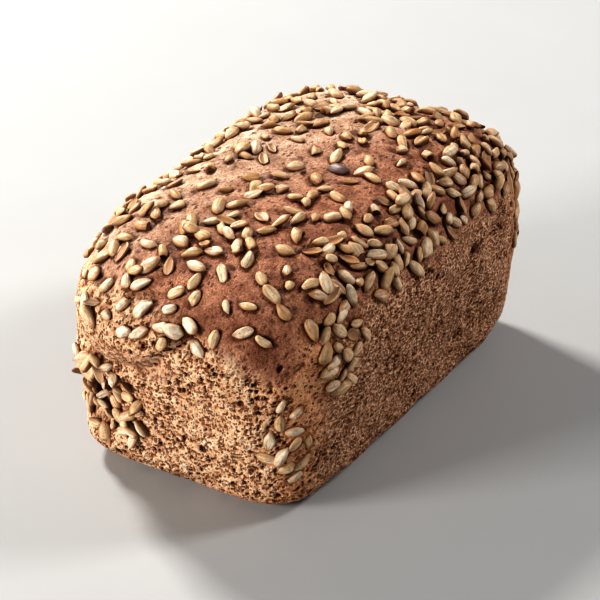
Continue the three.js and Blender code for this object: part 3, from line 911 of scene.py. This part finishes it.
class Shader:
    """A material's node tree, with short calls for the nodes used here."""

    def __init__(self, name):
        self.material = bpy.data.materials.new(name)
        self.material.use_nodes = True
        self.tree = self.material.node_tree
        self.surface = self.tree.nodes["Principled BSDF"]

    def node(self, kind, inputs, **settings):
        made = self.tree.nodes.new(kind)
        for key, value in settings.items():
            setattr(made, key, value)
        for key, value in inputs.items():
            self.feed(made.inputs[key], value)
        return made

    def feed(self, socket, value):
        if isinstance(value, bpy.types.NodeSocket):
            self.tree.links.new(value, socket)
        elif isinstance(value, tuple) and socket.type == "RGBA":
            socket.default_value = (*value, 1)
        else:
            socket.default_value = value

    def place(self):
        return self.node("ShaderNodeTexCoord", {}).outputs["Object"]

    def attribute(self, name):
        return self.node("ShaderNodeAttribute", {}, attribute_name=name)

    def noise(self, size, detail=3, roughness=0.6, length=1):
        """Fractal noise from 0 to 1: lumps of a size in millimetres, longer along the loaf by a factor."""
        where = self.vector("MULTIPLY", self.place(), (1, 1 / length, 1)).outputs[0]
        inputs = {"Vector": where, "Scale": 1 / (size * METRES), "Detail": detail, "Roughness": roughness}
        return self.node("ShaderNodeTexNoise", inputs).outputs["Fac"]

    def vector(self, operation, first, second):
        return self.node("ShaderNodeVectorMath", {0: first, 1: second}, operation=operation)

    def scaled(self, vector, factor):
        inputs = {0: vector, "Scale": factor}
        return self.node("ShaderNodeVectorMath", inputs, operation="SCALE").outputs[0]

    def dough(self):
        """Places in the dough: warped, and shortened along its rise and the loaf to make long cells."""
        place = self.place()
        inputs = {"Vector": place, "Scale": 1 / (CELL_WARP_SIZE * METRES)}
        noise = self.node("ShaderNodeTexNoise", inputs)
        shift = self.scaled(noise.outputs["Color"], CELL_WARP * METRES)
        place = self.vector("ADD", place, shift).outputs[0]
        along = self.vector("DOT_PRODUCT", place, PORE_RISE).outputs["Value"]
        excess = self.times(along, 1 / PORE_STRETCH - 1)
        place = self.vector("ADD", place, self.scaled(PORE_RISE, excess)).outputs[0]
        return self.vector("MULTIPLY", place, (1, 1 / CELL_LENGTH, 1)).outputs[0]

    def holes(self, size, widest):
        """How far inside a hole of a foam points lie, in sizes of its cells: below 0 outside the holes."""
        inputs = {"Vector": self.dough(), "Scale": 1 / (size * METRES)}
        cells = self.node("ShaderNodeTexVoronoi", inputs)
        luck = self.node("ShaderNodeSeparateColor", {"Color": cells.outputs["Color"]}).outputs[0]
        return self.math("SUBTRACT", self.span(luck, *HOLE_LUCK, widest), cells.outputs["Distance"])

    def net(self, size):
        """Distance to the nearest wall of a foam, in sizes of its cells."""
        inputs = {"Vector": self.dough(), "Scale": 1 / (size * METRES)}
        cells = self.node("ShaderNodeTexVoronoi", inputs, feature="DISTANCE_TO_EDGE")
        return cells.outputs["Distance"]

    def math(self, operation, first, second):
        return self.node("ShaderNodeMath", {0: first, 1: second}, operation=operation).outputs[0]

    def times(self, first, second):
        return self.math("MULTIPLY", first, second)

    def span(self, value, low, high, start=0.0, end=1.0):
        """Maps low..high to start..end, smoothly, and holds the ends."""
        inputs = {"Value": value, "From Min": low, "From Max": high, "To Min": start, "To Max": end}
        made = self.node("ShaderNodeMapRange", inputs, interpolation_type="SMOOTHSTEP")
        return made.outputs["Result"]

    def mix(self, share, first, second, blend="MIX"):
        made = self.node("ShaderNodeMix", {"Factor": share}, data_type="RGBA", blend_type=blend)
        self.feed(made.inputs[6], first)
        self.feed(made.inputs[7], second)
        return made.outputs[2]

    def share(self, where, patterns):
        """How far all the patterns of a place hold."""
        shares = [self.span(patterns[name], *reach) for name, *reach in where]
        return functools.reduce(self.times, shares)

    def layered(self, colour, layers, patterns):
        """A colour with layers over it."""
        for over, *where in layers:
            colour = self.mix(self.share(where, patterns), colour, over)
        return colour

    def shaded(self, colour, share, low, high):
        """A colour times a shade that goes from low to high with a share."""
        return self.mix(1, colour, self.mix(share, low, high), "MULTIPLY")

    def bump(self, height, strength, depth, below=None):
        """Bump of a depth in millimetres."""
        inputs = {"Height": height, "Strength": strength, "Distance": depth * METRES}
        if below:
            inputs["Normal"] = below
        return self.node("ShaderNodeBump", inputs).outputs["Normal"]

    def finish(self, **inputs):
        for key, value in inputs.items():
            self.feed(self.surface.inputs[key.replace("_", " ")], value)
        return self.material


def crust_material():
    """The loaf's skin: crust on top, crumb on the walls, and a foam of its own on the right wall."""
    shader = Shader("baked_crust")
    place = shader.node("ShaderNodeSeparateXYZ", {"Vector": shader.place()})
    across, along = place.outputs["X"], place.outputs["Y"]
    patterns = {"across": across, "along": along}
    patterns["drift"] = shader.math("SUBTRACT", across, shader.times(along, PAINTED_LIGHT_SLOPE))
    for name in SKIN_ATTRIBUTES:
        patterns[name] = shader.attribute(name).outputs["Fac"]
    for name, values in CRUST_NOISES.items():
        patterns[name] = shader.noise(*values)
    corner = shader.share(FRONT_CORNER, patterns)
    right = shader.share(RIGHT_WALL, patterns)
    hidden = shader.math("MAXIMUM", shader.share(LEFT_WALL, patterns), shader.share(REAR_END, patterns))
    holes = shader.math("SUBTRACT", shader.holes(*CRUMB_HOLES), shader.times(corner, CORNER_NARROWING))
    net = shader.net(WALL_CELLS)
    patterns.update(corner=corner, holes=holes, net=net, pinholes=shader.holes(*PINHOLES))

    # Painted light on the crust's far left
    top = shader.layered(CRUST_BROWN, CRUST_PAINTED_LIGHT, patterns)
    for low, high, *where in CRUST_SHADES:
        top = shader.shaded(top, shader.share(where, patterns), low, high)
    top = shader.layered(top, CRUST_LAYERS, patterns)
    crumb = shader.layered(CRUMB_BROWN, CRUMB_LAYERS, patterns)
    # Painted shade on the front's right corner
    crumb = shader.shaded(crumb, corner, WHITE, CORNER_PAINTED_SHADE)
    # Painted shade on the left wall and the rear end
    crumb = shader.shaded(crumb, hidden, WHITE, HIDDEN_PAINTED_SHADE)
    crumb = shader.mix(right, crumb, shader.layered(WALL_BROWN, WALL_LAYERS, patterns))
    # Painted shade in the pits
    crumb = shader.layered(crumb, PAINTED_PIT_SHADE, patterns)
    colour = shader.mix(patterns["crust"], crumb, top)

    foam = shader.mix(right, shader.span(holes, *HOLE_SLOPE), shader.span(net, *NET_SLOPE))
    foam = shader.mix(patterns["crust"], foam, shader.span(holes, *HOLE_SLOPE, start=0.7))
    normal = shader.bump(foam, strength=1, depth=0.7)
    normal = shader.bump(patterns["rough"], strength=0.8, depth=0.6, below=normal)
    normal = shader.bump(patterns["speck"], strength=0.8, depth=0.3, below=normal)
    return shader.finish(Base_Color=colour, Normal=normal, Roughness=0.62, Specular_IOR_Level=0.2)


def kernel_material():
    """Toasted kernels: streaked and specked, darker at the ends, with painted shade on their sides and
    undersides, and one of them burnt.
    """
    shader = Shader("toasted_kernel")
    looks = shader.attribute("kernel")
    luck = looks.outputs["Alpha"]
    parts = shader.node("ShaderNodeSeparateColor", {"Color": looks.outputs["Color"]})
    patterns = dict(zip(("toast", "along", "face"), parts.outputs))
    skin = {"Vector": shader.attribute("skin").outputs["Vector"], **STREAKS}
    streak = shader.node("ShaderNodeTexNoise", skin).outputs["Fac"]
    patterns.update(luck=luck, half=shader.math("GREATER_THAN", luck, 1), streak=streak)
    for name, values in KERNEL_NOISES.items():
        patterns[name] = shader.noise(*values)

    colour = shader.layered(KERNEL_PALE, KERNEL_LAYERS, patterns)
    normal = shader.bump(streak, strength=0.7, depth=0.5)
    normal = shader.bump(patterns["rough"], strength=0.35, depth=0.3, below=normal)
    return shader.finish(Base_Color=colour, Normal=normal, Roughness=0.45, Specular_IOR_Level=0.5)


def floor_material():
    shader = Shader("pale_floor")
    colour = shader.mix(shader.noise(*FLOOR_NOISE), *FLOOR_COLOURS)
    return shader.finish(Base_Color=colour, Roughness=0.8)


# Stage


def build_floor():
    bpy.ops.mesh.primitive_plane_add(size=FLOOR_SIZE, location=(0, 0, 0))
    floor = bpy.context.object
    floor.name = "floor"
    floor.data.materials.append(floor_material())


def build_camera():
    azimuth = math.radians(CAMERA_AZIMUTH)
    elevation = math.radians(CAMERA_ELEVATION)
    right = Vector((math.cos(azimuth), math.sin(azimuth), 0))
    back = Vector((
        math.sin(azimuth) * math.cos(elevation),
        -math.cos(azimuth) * math.cos(elevation),
        math.sin(elevation),
    ))
    up = back.cross(right)
    data = bpy.data.cameras.new("camera")
    data.lens = CAMERA_LENS
    data.sensor_width = CAMERA_SENSOR
    camera = bpy.data.objects.new("camera", data)
    aim = Vector((0, 0, AIM_HEIGHT)) + right * AIM_RIGHT + up * AIM_UP
    turn = Matrix((right, up, back)).transposed().to_4x4()
    camera.matrix_world = Matrix.Translation(aim + back * CAMERA_DISTANCE) @ turn
    bpy.context.scene.collection.objects.link(camera)
    bpy.context.scene.camera = camera


def build_light():
    for name, direction, size, power, colour in LIGHTS:
        data = bpy.data.lights.new(name, "AREA")
        data.shape = "RECTANGLE"
        data.size, data.size_y = size
        data.energy = power
        data.color = colour
        light = bpy.data.objects.new(name, data)
        towards = Vector(direction).normalized()
        light.location = towards * LIGHT_DISTANCE
        light.rotation_euler = towards.to_track_quat("Z", "Y").to_euler()
        bpy.context.scene.collection.objects.link(light)
    world = bpy.data.worlds.new("studio")
    world.use_nodes = True
    backdrop = world.node_tree.nodes["Background"]
    backdrop.inputs["Color"].default_value = SKY_COLOUR
    backdrop.inputs["Strength"].default_value = SKY_STRENGTH
    bpy.context.scene.world = world


def build_loaf():
    kernels = scatter_kernels()
    burnt = min(kernels, key=lambda kernel: math.dist(kernel["place"], DARK_KERNEL))
    burnt["toast"] = BURNT
    skin = crust_material()
    for piece in build_skin(kernels):
        piece.data.materials.append(skin)
        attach(piece, "root")
        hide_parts("loaf")

    numbers = random_table(len(kernels), KERNEL_DRAWS, LOOKS_START)
    split = numbers[:, 0] > 1 - SPLIT_SHARE
    material = kernel_material()
    for name, chosen in (("kernels", ~split), ("split_kernels", split)):
        members = [kernels[index] for index in np.flatnonzero(chosen)]
        piece = build_kernels(name, members, numbers[chosen], name == "split_kernels")
        piece.data.materials.append(material)
        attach(piece, "root")


bpy.context.scene.view_settings.view_transform = "Standard"
bpy.context.scene.view_settings.look = "High Contrast"
build_camera()
build_loaf()
build_floor()
build_light()
